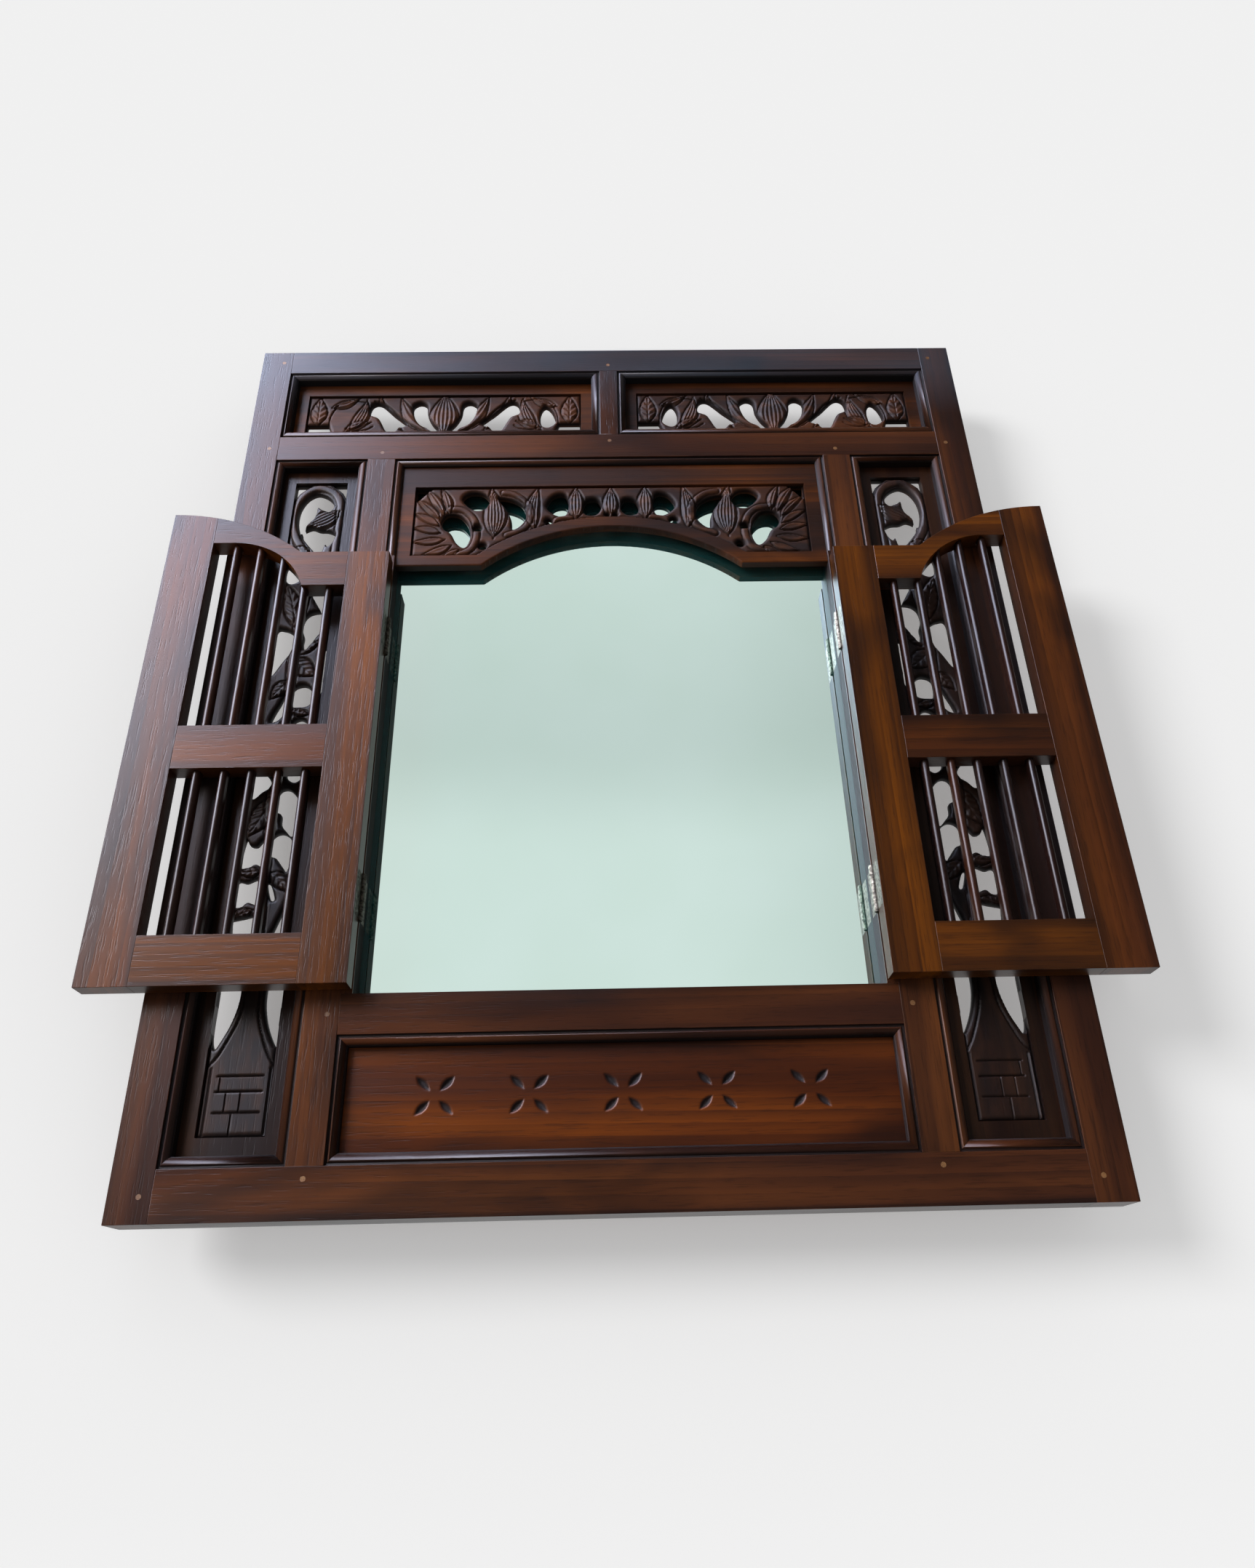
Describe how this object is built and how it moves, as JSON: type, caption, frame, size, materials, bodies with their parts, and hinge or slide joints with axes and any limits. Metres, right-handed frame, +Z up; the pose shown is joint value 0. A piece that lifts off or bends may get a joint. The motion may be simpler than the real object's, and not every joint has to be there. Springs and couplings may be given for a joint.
{
  "type": "shutter mirror",
  "caption": "Wall mirror made like a carved wooden window: framed and pierced panels round a recessed mirror under an arched spandrel, with hinged barred shutters that fold back over the frame.",
  "frame": {"origin": "midpoint between the round parts of the two keyhole hanging holes, on the back plane of the frame that lies against the wall", "axes": "+Z up along the frame's height, +Y out of the back towards the wall, so the mirror faces -Y; +X to the viewer's right"},
  "size_m": [0.8446, 0.051, 0.9],
  "materials": {
    "frame_wood": "dark reddish-brown varnished hardwood, glossy, worn brighter on edges",
    "carved_wood": "dark varnished carved hardwood, near black in the cuts",
    "shutter_wood": "orange-brown varnished hardwood, glossy",
    "peg_wood": "pale end-grain wooden pegs",
    "backing_wood": "unfinished plywood",
    "mirror_glass": "silvered float glass with a faint green cast",
    "packing_felt": "grey-brown packing felt",
    "hinge_brass": "aged, dull",
    "zinc_hardware": "zinc plated"
  },
  "bodies": {
    "frame": {"outer_stile_left": "frame_wood", "outer_stile_right": "frame_wood", "top_rail": "frame_wood", "second_rail": "frame_wood", "bottom_rail": "frame_wood", "centre_muntin": "frame_wood", "inner_stile_left": "frame_wood", "inner_stile_right": "frame_wood", "sill_rail": "frame_wood", "top_fret_left": "carved_wood", "top_fret_right": "carved_wood", "side_fret_left": "carved_wood", "side_fret_right": "carved_wood", "spandrel_panel": "carved_wood", "bottom_panel": "carved_wood", "joint_pegs": "peg_wood", "mirror_glass": "mirror_glass", "packing_sheet": "packing_felt", "backing_board": "backing_wood", "backing_screws": "zinc_hardware", "hanger_plate_left": "zinc_hardware", "hanger_plate_right": "zinc_hardware", "hanger_screws": "zinc_hardware", "frame_leaf_left_upper": "hinge_brass", "frame_leaf_left_lower": "hinge_brass", "frame_leaf_right_upper": "hinge_brass", "frame_leaf_right_lower": "hinge_brass", "hinge_pins_left": "hinge_brass", "hinge_pins_right": "hinge_brass", "frame_leaf_screws": "hinge_brass"},
    "left_shutter": {"left_hinge_stile": "shutter_wood", "left_meeting_stile": "shutter_wood", "left_arched_rail": "shutter_wood", "left_mid_rail": "shutter_wood", "left_bottom_rail": "shutter_wood", "left_upper_bars": "shutter_wood", "left_lower_bars": "shutter_wood", "left_leaf_upper": "hinge_brass", "left_leaf_lower": "hinge_brass", "left_leaf_screws": "hinge_brass"},
    "right_shutter": {"right_hinge_stile": "shutter_wood", "right_meeting_stile": "shutter_wood", "right_arched_rail": "shutter_wood", "right_mid_rail": "shutter_wood", "right_bottom_rail": "shutter_wood", "right_upper_bars": "shutter_wood", "right_lower_bars": "shutter_wood", "right_leaf_upper": "hinge_brass", "right_leaf_lower": "hinge_brass", "right_leaf_screws": "hinge_brass"}
  },
  "joints": [
    {"name": "left_shutter_hinge", "type": "hinge", "parent": "frame", "child": "left_shutter", "pos_m": [-0.2115, -0.032, -0.438], "axis": [0, 0, 1], "range_deg": [0, 180]},
    {"name": "right_shutter_hinge", "type": "hinge", "parent": "frame", "child": "right_shutter", "pos_m": [0.2115, -0.032, -0.438], "axis": [0, 0, -1], "range_deg": [0, 180]}
  ]
}
